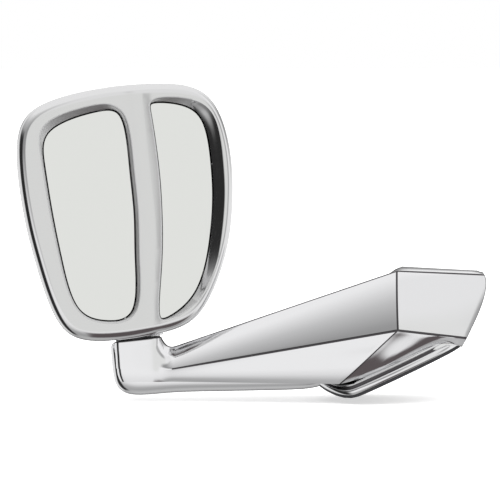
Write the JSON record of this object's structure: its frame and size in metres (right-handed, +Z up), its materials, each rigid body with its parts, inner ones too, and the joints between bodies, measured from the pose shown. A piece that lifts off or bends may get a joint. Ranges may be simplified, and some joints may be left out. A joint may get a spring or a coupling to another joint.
{
  "type": "car side mirror",
  "caption": "Chromed arm-mounted exterior side mirror: swivelling head with a main and a narrow second glass behind a divided bezel, tapering arm and wedge base for a sloping panel.",
  "frame": {"origin": "centre of the base's mounting face, which is also the centre of its bolt circle", "axes": "+Z up, +X along the arm from the head towards the vehicle, the glasses face -Y (the viewer)"},
  "size_m": [0.4189, 0.0998, 0.2806],
  "materials": {
    "chrome_shell": "bright chrome plating",
    "chrome_trim": "bright chrome plating",
    "core": "die-cast, matt",
    "gasket": "matt black rubber",
    "brass": "turned",
    "steel": "zinc plated",
    "spring": "drawn wire",
    "nylon": "natural nylon",
    "black_plastic": "moulded, matt",
    "pad": "foam tape",
    "mirror": "first-surface bright"
  },
  "bodies": {
    "arm": {"arm_shell_front": "chrome_shell", "arm_shell_rear": "chrome_shell", "keel_trim": "chrome_trim", "arm_core": "core", "base_flange": "chrome_trim", "base_gasket": "gasket", "mount_inserts": "brass", "shell_screws": "steel", "swivel_post": "steel", "neck_seal": "gasket", "thrust_washer": "nylon", "friction_washer": "nylon", "head_spring": "spring", "spring_cap": "steel", "lock_nut": "steel"},
    "head": {"head_shell": "chrome_shell", "bezel": "chrome_trim", "bezel_seal": "gasket", "head_bracket": "core", "bracket_screws": "steel", "bezel_screws": "steel"},
    "main_cross": {"main_cross": "nylon"},
    "main_mirror": {"main_carrier": "black_plastic", "main_pad": "pad", "main_glass": "mirror"},
    "aux_cross": {"aux_cross": "nylon"},
    "aux_mirror": {"aux_carrier": "black_plastic", "aux_pad": "pad", "aux_glass": "mirror"}
  },
  "joints": [
    {"name": "head_swivel", "type": "hinge", "parent": "arm", "child": "head", "pos_m": [-0.239, 0, 0.027], "axis": [-0.1106, 0.1219, 0.9864], "range_deg": [-70, 70]},
    {"name": "main_pan", "type": "hinge", "parent": "head", "child": "main_cross", "pos_m": [-0.28058, -0.00857, 0.13796], "axis": [-0.1106, 0.1219, 0.9864], "range_deg": [-5, 5]},
    {"name": "main_tilt", "type": "hinge", "parent": "main_cross", "child": "main_mirror", "pos_m": [-0.28058, -0.00857, 0.13796], "axis": [0.9749, 0.2064, 0.0839], "range_deg": [-4, 4]},
    {"name": "aux_pan", "type": "hinge", "parent": "head", "child": "aux_cross", "pos_m": [-0.19696, 0.00942, 0.14714], "axis": [-0.1106, 0.1219, 0.9864], "range_deg": [-5, 5]},
    {"name": "aux_tilt", "type": "hinge", "parent": "aux_cross", "child": "aux_mirror", "pos_m": [-0.19696, 0.00942, 0.14714], "axis": [0.9749, 0.2064, 0.0839], "range_deg": [-4, 4]}
  ]
}
